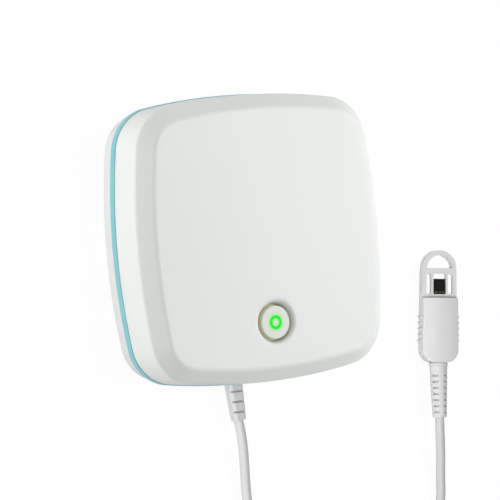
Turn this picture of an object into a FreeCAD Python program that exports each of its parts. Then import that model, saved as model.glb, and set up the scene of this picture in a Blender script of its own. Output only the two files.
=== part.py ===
import FreeCAD, Part
import math
import os
from FreeCAD import Placement, Rotation, Vector

# Temperature and humidity data logger with its sensor in a probe on a lead.
# Millimetres. The housing lies on its back: +Z is its front normal, +Y its top edge.
# The origin is the middle of the housing's flat back.

# Housing outline: a square drawn with eight arcs
WIDTH = 100.0          # across the flats, at the crease of the front
SIDE_ARC_R = 220.0
CORNER_ARC_R = 15.7
REAR_INSET = 1.2       # the back is this much smaller than the crease
SEAM_GROW = 0.25       # the rear shell's rim is this much larger
RIM_GROW = 0.35        # the front shell's rim this much
BAND_GROW = 0.65       # and the coloured band between them this much
REAR_H = 7.8
BAND_H = 2.9
SIDE_H = 12.8          # front shell's rim to the crease
BEVEL = 4.8            # width and rise of the bevelled frame
DOME_RISE = 0.9        # the face's crown above the bevel's inner edge
REAR_EDGE = 0.8
CREASE_R = 1.6
FACE_EDGE_R = 2.4

# Walls and the joint between the shells
WALL = 2.4
FLOOR = 2.4
BAND_DEPTH = 1.2
BAND_CLEAR = 0.1
BAND_EDGE = 0.15
GASKET_H = 1.0

# Screws that close the housing
BOSS_IN = 13.5         # the screws' middles, in from the flats
BOSS_R = 3.6
FRONT_BOSS_R = 3.2
BOSS_TOP = 9.0
SCREW_R = 1.35
SCREW_HEAD_R = 2.7
SCREW_HEAD_H = 1.8
SCREW_RECESS = 3.0
SCREW_L = 13.0
THREAD_CLEAR = 0.05
HOLE_CLEAR = 0.25

# Wall-hanging keyholes
KEYHOLE_SPACING = 50.0
KEYHOLE_IN = 16.5      # their entries' middles, in from the top
KEYHOLE_ENTRY_R = 4.0
KEYHOLE_SLOT_R = 2.1
KEYHOLE_RUN = 6.0
KEYHOLE_DEPTH = 3.6
KEYHOLE_WALL = 1.2

# Battery bay, cells, contacts and door
CELL_R = 7.1
CELL_L = 50.2
CELL_GAP = 0.4
NUB_R = 2.75
NUB_H = 1.0
BAY_Y = 6.0
BAY_END_ROOM = 3.4     # at each end, for the contacts
BAY_WALL = 1.4
BAY_SIDE_CLEAR = 0.2
HOOK_CHANNEL_W = 1.7
HOOK_CHANNEL_H = 2.2
MOUTH_END = 2.0        # the ledge at each end of the bay's mouth
DOOR_T = 1.5
DOOR_LAP = 2.4         # the door reaches this far past the hook channel
DOOR_CLEAR = 0.25
DOOR_SET_IN = 0.1      # the door lies this far inside the flat back
DOOR_TRAVEL = 6.0
DOOR_CORNER_R = 3.0
HOOK_L = 5.0
HOOK_T = 1.1
HOOK_FOOT = 1.5
HOOK_LIFT = 0.2
HOOKS_AT = (-18.0, 13.0)
GRIP_RIDGES = 5
GRIP_PITCH = 2.2
CONTACT_T = 0.4
CONTACT_W = 8.0
CONTACT_H = 9.0

# Main board and what it carries
BOARD_IN_X = 8.0       # the board's edges, in from the flats
BOARD_IN_Y = 19.0
BOARD_TONGUE_X = 56.0
BOARD_TONGUE_Y = 7.0
BOARD_T = 1.6
BOARD_GAP = 0.4        # above the bay's roof
STANDOFF_IN_X = 13.0
STANDOFF_IN_Y = 24.0
STANDOFF_R = 2.6
BOARD_SCREW_R = 1.0
BOARD_SCREW_HEAD_R = 2.0
BOARD_SCREW_HEAD_H = 1.3
BOARD_SCREW_L = 6.5
CHIP = 7.0             # side of the processor; the other chips are shares of it
RADIO_X = 18.0
RADIO_Y = 25.5
RADIO_T = 0.8
RADIO_IN_X = 18.0      # its middle, in from the board's edges
RADIO_IN_Y = 10.5
CAN_X = 15.8
CAN_Y = 17.6
CAN_H = 2.4

# Button
BUTTON_IN = 20.53      # its middle, in from the bottom
CAP_R = 5.8
CAP_T = 1.7
CAP_SINK = 0.2         # the cap's top below the face around it
CAP_EDGE = 0.25
MOAT_R = 7.75          # the moat round the cap, at the face
MOAT_DEPTH = 2.1
MOAT_BULGE = 0.07      # how far its flank bows, as a share of its slant
MOAT_FLOOR = 0.6       # the gap round the cap at the flank's foot
CAP_CLEAR = 0.3        # and above the cap's flange
PRESS = 0.6
SKIRT_T = 0.9
FLANGE_R = 7.3
FLANGE_T = 0.8
GUIDE_BOSS_R = 8.6
GUIDE_L = 1.5
RING_R = 1.93          # middle of the lit ring
RING_W = 0.8
RING_DEPTH = 0.8
LEG_SPAN = 84.0        # degrees that each light-guide leg spans
GUIDE_DISC_R = 4.7
GUIDE_DISC_T = 0.8
STEM_R = 1.2
PLUNGER_R = 1.75
PLUNGER_OUT = 1.0
SWITCH_W = 6.2
SWITCH_H = 3.4
LED_X = 1.6
LED_Y = 0.8
LED_H = 0.7
LED_AT = 4.1

# Lead
CORD_R = 1.7
SEAT_CLEAR = 0.15
LEAD_X = -4.6
LEAD_Z = 4.9

# Strain relief on the housing
RELIEF_L = 13.9
RELIEF_ROOT_W = 5.7
RELIEF_ROOT_T = 4.9
RELIEF_TIP_W = 4.8
RELIEF_TIP_T = 4.25
RELIEF_LEAN = 1.0      # how far its tip leans to +X
RELIEF_GROOVES = 3
RELIEF_PITCH = 3.66
RELIEF_FIRST = 3.6
GROOVE_W = 0.7
GROOVE_D = 0.8
RELIEF_CORNER = 0.9
RELIEF_FLANGE = 1.4
RELIEF_FLANGE_T = 1.5
NOTCH_CLEAR = 0.1
CLAMP_POST_R = 2.2
CLAMP_POST_X = 5.4
CLAMP_T = 2.0
CLAMP_W = 4.6
TAIL_FLAT_Y = -36.0    # the tail lies flat up to here
TAIL_TOP_Y = -24.5     # and has risen by here
TAIL_Z = 12.9
PLUG_X = 9.0
PLUG_Y0 = -17.3
PLUG_Y1 = -12.3
PLUG_H = 8.0

# Probe: U runs along it to the loop, V across it, W out of its front
PROBE_AT = Vector(85.15, -52.4, 0)
PROBE_TURN = -6.1      # degrees about Z
PROBE_ROLL = -16.0     # degrees about its own length, towards the housing
PROBE_L = 41.25
PROBE_W = 13.9
PROBE_LOOP_W = 13.0
PROBE_T = 7.8
PROBE_CROWN_R = 21.0
PROBE_END_R = 5.0
PROBE_EDGE_R = 0.5
PROBE_NOSE = 1.3       # the slant at the lead's end, front and back
PROBE_WALL = 1.3
TAIL_L = 17.5          # the front cover ends in a step this far from the loop's end
WINDOW_FACE = 1.2      # height of the window plate above the mid plane
PLATE_T = 1.8
SEAM_W = 0.65
LOOP_T = 3.2
WINDOW_IN = 1.35       # the window's sill beyond the step
WINDOW_TO_LOOP = 2.1
WINDOW_W = 4.9
SLOT_W = 1.9
SLOT_AT = 4.2
POCKET_W = 12.0
LOOP_HOLE_W = 10.0
LOOP_HOLE_H = 4.7
LOOP_RIM = 1.85
TEETH = 5
TOOTH_PITCH = 2.17
TOOTH_FIRST = 8.1
TOOTH_H = 0.7
COLLAR_R = 3.45
COLLAR_L = 1.3
SPIGOT_R = 2.4
SPIGOT_L = 2.6
PRELIEF_L = 18.75
PRELIEF_R0 = 3.3
PRELIEF_R1 = 2.62
PRELIEF_LEAN = 0.6
PRELIEF_ROWS = 7
PRELIEF_PITCH = 2.24
PRELIEF_FIRST = 3.4
PRELIEF_SLOT_L = 0.75
PRELIEF_SLOT_DEPTH = 0.75
PRELIEF_SLOT_HALF = 24.0   # degrees each side of a column's middle
PRELIEF_TWIST = 45.0       # degrees from the head's side to the first column's middle
SENSOR_BOARD_W = 4.6
SENSOR_BOARD_T = 1.0
SENSOR_BOARD_U0 = 6.0
SENSOR_BOARD_END = 1.1  # board beyond the sensor
SENSOR_W = 2.5
SENSOR_H = 0.7
SENSOR_IN = 3.3        # the sensor's middle above the window's sill
PARTS_IN = 0.5         # the small parts above the sill
PARTS_L = 0.6
WIRE_R = 0.35

# Coil of the lead's spare length, tied, on the table
COIL_AT = Vector(41.0, -141.0, 0)
COIL_R = 24.8          # the outermost turn's middle
COIL_TURNS = 3         # in each of the two layers
TURN_GAP = 0.5
TIE_T = 0.55
TIE_W = 6.0
TIE_CLEAR = 0.2
COIL_LIFT = TIE_T + TIE_CLEAR
END_RUN = 6.5          # straight run of the lead at each end of a free run

# Levels that follow from the sizes above
HALF = WIDTH / 2
BOSS_AT = HALF - BOSS_IN
KEYHOLE_Y = HALF - KEYHOLE_IN
BUTTON_Y = BUTTON_IN - HALF
BOARD_X = WIDTH - 2 * BOARD_IN_X
BOARD_Y = WIDTH - 2 * BOARD_IN_Y
STANDOFF_X = HALF - STANDOFF_IN_X
STANDOFF_Y = HALF - STANDOFF_IN_Y
RADIO_AT = (BOARD_X / 2 - RADIO_IN_X, BOARD_Y / 2 - RADIO_IN_Y)
BAND_Z = REAR_H
RIM_Z = BAND_Z + BAND_H
CREASE_Z = RIM_Z + SIDE_H
FACE_Z = CREASE_Z + BEVEL
FACE_HALF = HALF - BEVEL
LIP_OUT = SEAM_GROW - BAND_DEPTH - BAND_CLEAR
LIP_IN = SEAM_GROW - WALL
BAY_HALF_X = CELL_L / 2 + BAY_END_ROOM
BAY_HALF_Y = 2 * CELL_R + CELL_GAP / 2 + BAY_SIDE_CLEAR
CHANNEL_HALF_Y = BAY_HALF_Y + HOOK_CHANNEL_W
CELL_Z = FLOOR + BAY_SIDE_CLEAR + CELL_R
BAY_TOP = CELL_Z + CELL_R + BAY_SIDE_CLEAR
BOARD_Z = BAY_TOP + BAY_WALL + BOARD_GAP
BOARD_TOP = BOARD_Z + BOARD_T
CORD_D = 2 * CORD_R
COIL_PITCH = CORD_D + TURN_GAP
COVER_L = PROBE_L - TAIL_L
LOOP_U = PROBE_L - LOOP_RIM - LOOP_HOLE_H
WINDOW_U0 = COVER_L + WINDOW_IN
WINDOW_U1 = LOOP_U - WINDOW_TO_LOOP
SENSOR_U = WINDOW_U0 + SENSOR_IN
SENSOR_BOARD_U1 = SENSOR_U + SENSOR_W / 2 + SENSOR_BOARD_END
X, Y, Z = Vector(1, 0, 0), Vector(0, 1, 0), Vector(0, 0, 1)

os.makedirs("parts", exist_ok=True)


def save(name, *solids):
    """Write one node, as a single solid or as a group of separate ones."""
    shape = solids[0] if len(solids) == 1 else Part.makeCompound(list(solids))
    shape.exportStep("parts/" + name + ".step")


def box(x0, y0, z0, x1, y1, z1):
    return Part.makeBox(x1 - x0, y1 - y0, z1 - z0, Vector(x0, y0, z0))


def rod(x, y, z0, z1, radius):
    return Part.makeCylinder(radius, z1 - z0, Vector(x, y, z0), Z)


def fuse(first, *rest):
    return first.multiFuse(list(rest)).removeSplitter() if rest else first


def cut(body, *tools):
    return body.cut(Part.makeCompound(list(tools))) if tools else body


def arc3(a, b, c):
    return Part.Arc(a, b, c).toShape()


def loop_of(points):
    """A closed wire of straight edges."""
    return Part.makePolygon(points + [points[0]])


def prism(wire, along):
    return Part.Face(wire).extrude(along)


def rounded_box(x0, y0, z0, x1, y1, z1, radius):
    body = box(x0, y0, z0, x1, y1, z1)
    upright = [e for e in body.Edges if abs(e.tangentAt(e.FirstParameter).z) > 0.9]
    return body.makeFillet(radius, upright)


def slot_prism(x, y0, y1, radius, z0, z1):
    """A round-ended slot along Y, from one end's centre to the other's."""
    middle = box(x - radius, y0, z0, x + radius, y1, z1)
    return fuse(middle, rod(x, y0, z0, z1, radius), rod(x, y1, z0, z1, radius))


def outline(grow, z):
    """The housing's outline at a level: four shallow side arcs and four corner arcs, offset outwards."""
    back = SIDE_ARC_R - HALF
    gap = SIDE_ARC_R - CORNER_ARC_R
    corner = (math.sqrt(2 * gap * gap - back * back) - back) / 2
    turn = math.atan2(corner, corner + back)
    side_r, corner_r = SIDE_ARC_R + grow, CORNER_ARC_R + grow
    edges = []
    for quarter in range(4):
        spin = Rotation(Z, -90 * quarter)
        def on(cx, cy, radius, angle):
            flat = Vector(cx + radius * math.sin(angle), cy + radius * math.cos(angle), 0)
            return spin.multVec(flat) + Vector(0, 0, z)
        side = [on(0, -back, side_r, a) for a in (-turn, 0, turn)]
        bend = [on(corner, corner, corner_r, a) for a in (turn, math.pi / 4, math.pi / 2 - turn)]
        edges += [arc3(*side), arc3(*bend)]
    return Part.Wire(edges)


def frustum(grow0, z0, grow1, z1):
    return Part.makeLoft([outline(grow0, z0), outline(grow1, z1)], True, True)


def ring_of(grow_out0, grow_out1, grow_in, z0, z1):
    return frustum(grow_out0, z0, grow_out1, z1).cut(frustum(grow_in, z0, grow_in, z1))


def under_dome():
    """Everything under the face's cushion-shaped crown, which is one patch of second degree both ways."""
    reach = 1.3 * FACE_HALF
    end = 1 - (reach / FACE_HALF) ** 2
    weights = (end, 2 - end, end)
    surface = Part.BezierSurface()
    surface.increase(2, 2)
    for i, wx in enumerate(weights):
        for j, wy in enumerate(weights):
            level = FACE_Z + DOME_RISE * wx * wy
            surface.setPole(i + 1, j + 1, Vector((i - 1) * reach, (j - 1) * reach, level))
    return surface.toShape().extrude(Vector(0, 0, -WIDTH))


def face_level(x, y):
    """The height of the crowned face at a place."""
    return FACE_Z + DOME_RISE * (1 - (x / FACE_HALF) ** 2) * (1 - (y / FACE_HALF) ** 2)


def corners():
    return [(sx * BOSS_AT, sy * BOSS_AT) for sx in (-1, 1) for sy in (-1, 1)]


def standoffs():
    return [(sx * STANDOFF_X, sy * STANDOFF_Y) for sx in (-1, 1) for sy in (-1, 1)]


def clamp_y():
    """The middle of the lead's clamp, just behind the strain relief's flange."""
    return relief_inner_y() + RELIEF_FLANGE_T + CLAMP_W / 2 + 2 * SEAT_CLEAR


def clamp_posts():
    return [(LEAD_X + side * CLAMP_POST_X, clamp_y()) for side in (-1, 1)]


def rear_wall_grow(z):
    """How far the rear shell's outside stands out from the crease's outline at a level."""
    return -REAR_INSET + (SEAM_GROW + REAR_INSET) * z / REAR_H


def relief_root_y():
    """Where the lead's strain relief leaves the rear shell's outside, at the bottom edge."""
    back = SIDE_ARC_R - HALF
    grow = rear_wall_grow(LEAD_Z)
    return back - math.sqrt((SIDE_ARC_R + grow) ** 2 - LEAD_X ** 2)


def door_hooks(along, extra, lift):
    """Both rows of hooks under the door, or with extra room the notches that they pass through."""
    made = []
    for start in HOOKS_AT:
        x0, x1 = start + along - extra, start + along + HOOK_L + extra
        for side in (-1, 1):
            inner = BAY_HALF_Y - DOOR_CLEAR - HOOK_T - extra
            outer = BAY_HALF_Y - DOOR_CLEAR + extra
            foot = BAY_HALF_Y + HOOK_FOOT - DOOR_CLEAR + extra
            ys, yf = sorted((side * inner, side * outer)), sorted((side * inner, side * foot))
            under, floor = DOOR_T + DOOR_SET_IN - 0.2, FLOOR + lift
            stem = box(x0, BAY_Y + ys[0], under, x1, BAY_Y + ys[1], floor + 0.5)
            grip = box(x0, BAY_Y + yf[0], floor, x1, BAY_Y + yf[1], floor + HOOK_T)
            made.append(stem.fuse(grip))
    return made


def rear_shell():
    body = frustum(-REAR_INSET, 0, SEAM_GROW, BAND_Z)
    body = body.makeChamfer(REAR_EDGE, [e for e in body.Edges if e.BoundBox.ZMax < 0.01])
    hollow = frustum(-REAR_INSET - WALL, FLOOR, LIP_IN, BAND_Z)
    body = body.cut(hollow.fuse(frustum(LIP_IN, BAND_Z, LIP_IN, RIM_Z)))
    # battery bay, closed above, with a channel for the door's hooks along both sides
    x0, x1 = BAY_HALF_X, BAY_HALF_X + BAY_WALL
    side = CHANNEL_HALF_Y + BAY_WALL
    bay = rounded_box(-x1, BAY_Y - side, 0.5 * FLOOR, x1, BAY_Y + side, BAY_TOP + BAY_WALL, BAY_WALL)
    room = box(-x0, BAY_Y - BAY_HALF_Y, FLOOR, x0, BAY_Y + BAY_HALF_Y, BAY_TOP)
    channel = box(-x0, BAY_Y - CHANNEL_HALF_Y, FLOOR, x0, BAY_Y + CHANNEL_HALF_Y, FLOOR + HOOK_CHANNEL_H)
    mouth = box(-x0 + MOUTH_END, BAY_Y - BAY_HALF_Y, -1, x0 - MOUTH_END, BAY_Y + BAY_HALF_Y, FLOOR + 1)
    door_x, door_y = door_half()
    recess = rounded_box(-door_x - DOOR_CLEAR, BAY_Y - door_y - DOOR_CLEAR, -1,
                         door_x + DOOR_TRAVEL + DOOR_CLEAR, BAY_Y + door_y + DOOR_CLEAR,
                         DOOR_T + DOOR_SET_IN + DOOR_CLEAR / 2, DOOR_CORNER_R + DOOR_CLEAR)
    # bosses, keyhole cups and the posts of the lead's clamp
    added = [bay]
    removed = [room, channel, mouth, recess]
    for x, y in corners():
        added.append(rod(x, y, 0.5 * FLOOR, BOSS_TOP, BOSS_R))
        removed.append(rod(x, y, -1, BOSS_TOP + 1, SCREW_R + HOLE_CLEAR))
        removed.append(rod(x, y, -1, SCREW_RECESS, SCREW_HEAD_R + HOLE_CLEAR))
    for x in (-KEYHOLE_SPACING / 2, KEYHOLE_SPACING / 2):
        y0, y1 = KEYHOLE_Y, KEYHOLE_Y + KEYHOLE_RUN
        cup_r = KEYHOLE_ENTRY_R + KEYHOLE_WALL
        added.append(slot_prism(x, y0, y1, cup_r, 0.5 * FLOOR, FLOOR + KEYHOLE_DEPTH + KEYHOLE_WALL))
        removed.append(slot_prism(x, y0, y1, KEYHOLE_ENTRY_R, FLOOR, FLOOR + KEYHOLE_DEPTH))
        removed.append(slot_prism(x, y0, y1, KEYHOLE_SLOT_R, -1, FLOOR + 1))
        removed.append(rod(x, y0, -1, FLOOR + 1, KEYHOLE_ENTRY_R))
    for x, y in clamp_posts():
        added.append(rod(x, y, 0.5 * FLOOR, LEAD_Z + CORD_R - 0.3, CLAMP_POST_R))
        removed.append(rod(x, y, FLOOR, BOSS_TOP, BOARD_SCREW_R + THREAD_CLEAR))
    # notch that holds the strain relief, open to the rim
    notch_w = RELIEF_ROOT_W / 2 + NOTCH_CLEAR
    notch_t = RELIEF_ROOT_T / 2 + NOTCH_CLEAR
    removed.append(box(LEAD_X - notch_w, -HALF - 2, LEAD_Z - notch_t,
                       LEAD_X + notch_w, -HALF + 4 * WALL, BAND_Z + 1))
    body = cut(fuse(body, *added), *removed)
    notches = door_hooks(DOOR_TRAVEL, DOOR_CLEAR, HOOK_LIFT)
    return cut(body, *notches)


def door_half():
    """Half the battery door's length and width."""
    half_x = BAY_HALF_X + DOOR_LAP
    half_y = CHANNEL_HALF_Y + DOOR_LAP
    return half_x, half_y


def battery_door():
    half_x, half_y = door_half()
    z0, z1 = DOOR_SET_IN, DOOR_SET_IN + DOOR_T
    plate = rounded_box(-half_x, BAY_Y - half_y, z0, half_x, BAY_Y + half_y, z1, DOOR_CORNER_R)
    grooves = []
    for i in range(GRIP_RIDGES):
        x = -half_x + 6 + GRIP_PITCH * i
        grooves.append(slot_prism(x, BAY_Y - 8, BAY_Y + 8, GRIP_PITCH / 4, z0 - 1, z0 + DOOR_T / 3))
    return cut(fuse(plate, *door_hooks(0, 0, HOOK_LIFT)), *grooves)


def battery_cells():
    cells = []
    for side in (-1, 1):
        y = BAY_Y + side * (CELL_R + CELL_GAP / 2)
        can = Part.makeCylinder(CELL_R, CELL_L - NUB_H, Vector(-CELL_L / 2, y, CELL_Z), X)
        can = can.makeChamfer(0.5, [e for e in can.Edges if isinstance(e.Curve, Part.Circle)])
        nub = Part.makeCylinder(NUB_R, NUB_H + 0.5, Vector(CELL_L / 2 - NUB_H - 0.5, y, CELL_Z), X)
        cell = fuse(can, nub)
        cells.append(cell if side > 0 else cell.mirror(Vector(0, 0, 0), X))
    return cells


def battery_contacts():
    """Four sprung leaves, each a plate on the bay's end wall with a bowed strip that meets the cell."""
    leaves = []
    bow = (BAY_END_ROOM - CONTACT_T)
    for side in (-1, 1):
        y = BAY_Y + side * (CELL_R + CELL_GAP / 2)
        for end in (-1, 1):
            wall = end * BAY_HALF_X
            x0, x1 = sorted((wall, wall - end * CONTACT_T))
            w, h = CONTACT_W / 2, CONTACT_H / 2
            plate = box(x0, y - w, CELL_Z - h, x1, y + w, CELL_Z + h)
            centre = Vector(wall - end * CONTACT_T, y - CONTACT_W / 2, CELL_Z)
            outer = Part.makeCylinder(bow, CONTACT_W, centre, Y)
            inner = Part.makeCylinder(bow - CONTACT_T, CONTACT_W, centre, Y)
            x2, x3 = sorted((wall - end * (CONTACT_T / 2), wall - end * (2 * BAY_END_ROOM)))
            keep = box(x2, y - CONTACT_W, CELL_Z - CONTACT_H, x3, y + CONTACT_W, CELL_Z + CONTACT_H)
            leaves.append(fuse(plate, outer.cut(inner).common(keep)))
    return leaves


def front_shell():
    """The white cover: side wall, bevelled frame and crowned face in one moulding, with the button's moat."""
    spare = 2 * DOME_RISE + 1
    wall = frustum(RIM_GROW, RIM_Z, 0, CREASE_Z)
    frame = frustum(0, CREASE_Z, -BEVEL - spare, FACE_Z + spare)
    body = fuse(wall, frame).common(under_dome())
    for level, radius in ((CREASE_Z, CREASE_R), (FACE_Z, FACE_EDGE_R)):
        near = DOME_RISE / 3
        edges = [e for e in body.Edges
                 if e.BoundBox.ZMin > level - near and e.BoundBox.ZMax < level + near]
        body = body.makeFillet(radius, edges)
    outside = fuse(body, frustum(0, BOSS_TOP - 1, 0, RIM_Z))
    # inside, parallel to the walls and the bevel, with a flat ceiling
    shoulder = CREASE_Z - WALL * math.tan(math.pi / 8)
    slope = FACE_Z - WALL - shoulder
    straight = frustum(LIP_IN, RIM_Z - BAND_H, LIP_IN, shoulder)
    sloped = frustum(LIP_IN, shoulder, LIP_IN - slope, shoulder + slope)
    hollow = fuse(straight, sloped)
    lip = ring_of(LIP_OUT, LIP_OUT, LIP_IN, BAND_Z + GASKET_H, RIM_Z + WALL)
    body = fuse(body.cut(hollow), lip)
    # screw bosses, board standoffs and the ring that guides the button
    ceiling = FACE_Z - WALL / 2
    added, removed = [], []
    for x, y in corners():
        added.append(rod(x, y, BOSS_TOP, FACE_Z, FRONT_BOSS_R).common(outside))
        removed.append(rod(x, y, BOSS_TOP - 1, SCREW_RECESS + SCREW_L + 0.5, SCREW_R + THREAD_CLEAR))
    for x, y in standoffs():
        added.append(rod(x, y, BOARD_TOP, FACE_Z, STANDOFF_R))
        removed.append(rod(x, y, BOARD_TOP - 1, BOARD_Z + BOARD_SCREW_L + 0.5, BOARD_SCREW_R + THREAD_CLEAR))
    low = button_face() - MOAT_DEPTH - GUIDE_L
    added.append(rod(0, BUTTON_Y, low, ceiling, GUIDE_BOSS_R))
    removed.append(rod(0, BUTTON_Y, low - 1, FACE_Z + spare, CAP_R + MOAT_FLOOR))
    removed.append(moat())
    return cut(fuse(body, *added), *removed)


def button_face():
    return face_level(0, BUTTON_Y)


def moat():
    """The ring-shaped hollow round the button: a steep, slightly bowed flank down to the cap's bore."""
    top, low = button_face(), button_face() - MOAT_DEPTH
    over = top + 2 * DOME_RISE
    start, end = Vector(CAP_R + MOAT_FLOOR, 0, low), Vector(MOAT_R, 0, top)
    bulge = Vector(-(end.z - start.z), 0, end.x - start.x)
    flank = arc3(start, (start + end) * 0.5 + bulge * MOAT_BULGE, end)
    rest = [end, Vector(MOAT_R + DOME_RISE, 0, over), Vector(0, 0, over), Vector(0, 0, low), start]
    edges = [flank] + [Part.makeLine(a, b) for a, b in zip(rest[:-1], rest[1:])]
    turned = Part.Face(Part.Wire(edges)).revolve(Vector(0, 0, 0), Z, 360)
    turned.translate(Vector(0, BUTTON_Y, 0))
    return turned


def accent_band():
    """The coloured ring between the shells, a little proud of both, with its outer edges broken."""
    ring = ring_of(BAND_GROW, BAND_GROW, SEAM_GROW - BAND_DEPTH, BAND_Z, RIM_Z)
    long = [e for e in ring.Edges if e.BoundBox.ZLength < 0.01 and outermost(e)]
    return ring.makeChamfer(BAND_EDGE, long)


def outermost(edge):
    """True for an edge that lies on the band's outer outline."""
    at = edge.valueAt((edge.FirstParameter + edge.LastParameter) / 2)
    return outline(BAND_GROW, at.z).distToShape(Part.Vertex(at))[0] < 0.01


def seal_gasket():
    return ring_of(LIP_OUT, LIP_OUT, LIP_IN, BAND_Z, BAND_Z + GASKET_H)


def case_screws():
    made = []
    for x, y in corners():
        top = SCREW_RECESS
        shank = rod(x, y, top - 0.5, top + SCREW_L, SCREW_R)
        head = rod(x, y, top - SCREW_HEAD_H, top, SCREW_HEAD_R)
        cross = [box(x - a, y - b, top - SCREW_HEAD_H - 1, x + a, y + b, top - SCREW_HEAD_H / 2)
                 for a, b in ((SCREW_HEAD_R * 0.6, 0.3), (0.3, SCREW_HEAD_R * 0.6))]
        made.append(cut(fuse(shank, head), *cross))
    return made


# Button pieces, on the button's own axis


def cap_levels():
    top = button_face() - CAP_SINK
    flange_top = button_face() - MOAT_DEPTH - GUIDE_L - CAP_CLEAR
    return top, top - CAP_T, flange_top


def leg_slots(r0, r1, z0, z1, spread):
    """Three arc-shaped legs of the light guide, or with a spread the slots that they pass through."""
    ring = rod(0, BUTTON_Y, z0, z1, r1).cut(rod(0, BUTTON_Y, z0 - 1, z1 + 1, r0))
    legs = []
    for i in range(3):
        span = LEG_SPAN + spread
        wedge = Part.makeCylinder(2 * CAP_R, z1 - z0, Vector(0, BUTTON_Y, z0), Z, span)
        wedge.rotate(Vector(0, BUTTON_Y, 0), Z, 120 * i - span / 2)
        legs.append(ring.common(wedge))
    return legs


def button_cap():
    top, under, flange_top = cap_levels()
    disc = rod(0, BUTTON_Y, under, top, CAP_R)
    disc = disc.makeChamfer(CAP_EDGE, [e for e in disc.Edges if e.BoundBox.ZMin > top - 0.01])
    skirt = rod(0, BUTTON_Y, flange_top - FLANGE_T, under + 0.1, CAP_R)
    flange = rod(0, BUTTON_Y, flange_top - FLANGE_T, flange_top, FLANGE_R)
    inside = rod(0, BUTTON_Y, flange_top - FLANGE_T - 1, under, CAP_R - SKIRT_T)
    stem = rod(0, BUTTON_Y, BOARD_TOP + SWITCH_H + PLUNGER_OUT, under + 0.1, STEM_R)
    body = fuse(fuse(disc, skirt, flange).cut(inside), stem)
    r0, r1 = RING_R - RING_W / 2, RING_R + RING_W / 2
    low = top - RING_DEPTH
    groove = rod(0, BUTTON_Y, low, top + 1, r1).cut(rod(0, BUTTON_Y, low - 1, top + 2, r0))
    return cut(body, groove, *leg_slots(r0, r1, under - 1, top, 0))


def light_guide():
    """The ring that lights up, on three legs that join a disc under the cap."""
    top, under, _ = cap_levels()
    r0, r1 = RING_R - RING_W / 2, RING_R + RING_W / 2
    low = top - RING_DEPTH
    ring = rod(0, BUTTON_Y, low, top, r1).cut(rod(0, BUTTON_Y, low - 1, top + 1, r0))
    disc = rod(0, BUTTON_Y, under - GUIDE_DISC_T, under, GUIDE_DISC_R)
    disc = disc.cut(rod(0, BUTTON_Y, under - GUIDE_DISC_T - 1, under + 1, STEM_R + THREAD_CLEAR))
    return fuse(ring, disc, *leg_slots(r0, r1, under - GUIDE_DISC_T / 2, low + RING_DEPTH / 2, 0))


def switch_plunger():
    top = BOARD_TOP + SWITCH_H + PLUNGER_OUT
    return rod(0, BUTTON_Y, top - PLUNGER_OUT - PRESS - 0.2, top, PLUNGER_R)


def tact_switch():
    w, z0, z1 = SWITCH_W / 2, BOARD_TOP, BOARD_TOP + SWITCH_H
    body = rounded_box(-w, BUTTON_Y - w, z0 + 0.2, w, BUTTON_Y + w, z1, 0.4)
    feet = []
    for sx in (-1, 1):
        for sy in (-1, 1):
            x, y = sx * w, BUTTON_Y + sy * w * 0.7
            feet.append(box(x - 0.5, y - 0.35, z0, x + 0.5, y + 0.35, z0 + 0.5))
    well = rod(0, BUTTON_Y, z1 - 2 * PRESS - 0.6, z1 + 1, PLUNGER_R + 0.2)
    return fuse(body, *feet).cut(well)


def status_lamps():
    made = []
    for side in (-1, 1):
        y = BUTTON_Y + side * LED_AT
        made.append(box(-LED_X / 2, y - LED_Y / 2, BOARD_TOP, LED_X / 2, y + LED_Y / 2, BOARD_TOP + LED_H))
    return made


def main_board():
    x, y = BOARD_X / 2, BOARD_Y / 2
    plate = rounded_box(-x, -y, BOARD_Z, x, y, BOARD_TOP, 1.5)
    tx = BOARD_TONGUE_X / 2
    tongue = rounded_box(-tx, -y - BOARD_TONGUE_Y, BOARD_Z, tx, -y + 4, BOARD_TOP, 1.5)
    holes = [rod(hx, hy, BOARD_Z - 1, BOARD_TOP + 1, BOARD_SCREW_R + HOLE_CLEAR) for hx, hy in standoffs()]
    return cut(fuse(plate, tongue), *holes)


def board_screws():
    made = []
    for x, y in standoffs():
        shank = rod(x, y, BOARD_Z - 0.5, BOARD_Z + BOARD_SCREW_L, BOARD_SCREW_R)
        head = rod(x, y, BOARD_Z - BOARD_SCREW_HEAD_H, BOARD_Z, BOARD_SCREW_HEAD_R)
        made.append(fuse(shank, head))
    return made


def on_board(x, y, width, depth, height):
    return box(x - width / 2, y - depth / 2, BOARD_TOP, x + width / 2, y + depth / 2, BOARD_TOP + height)


def radio_module():
    x, y = RADIO_AT
    return on_board(x, y, RADIO_X, RADIO_Y, RADIO_T)


def radio_can():
    x, y = RADIO_AT
    low = y - RADIO_Y / 2 + 1
    z = BOARD_TOP + RADIO_T
    can = rounded_box(x - CAN_X / 2, low, z, x + CAN_X / 2, low + CAN_Y, z + CAN_H, 0.6)
    return can.makeFillet(0.3, [e for e in can.Edges if e.BoundBox.ZMin > z + CAN_H - 0.01])


def board_chips():
    """Six parts on the board's front: place as a share of the board's half, then size as a share of CHIP."""
    kinds = ((-0.29, 0.26, 1.0, 1.0, 0.14), (-0.62, 0.32, 0.71, 0.86, 0.23),
             (-0.64, -0.32, 0.93, 0.5, 0.23), (-0.29, -0.26, 0.46, 0.21, 0.13),
             (0.29, -0.19, 0.43, 0.43, 0.14), (0.57, -0.26, 0.76, 0.74, 0.27))
    return [on_board(x * BOARD_X / 2, y * BOARD_Y / 2, w * CHIP, d * CHIP, h * CHIP) for x, y, w, d, h in kinds]


# The lead: a tube of straight runs joined by tangent arcs


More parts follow.
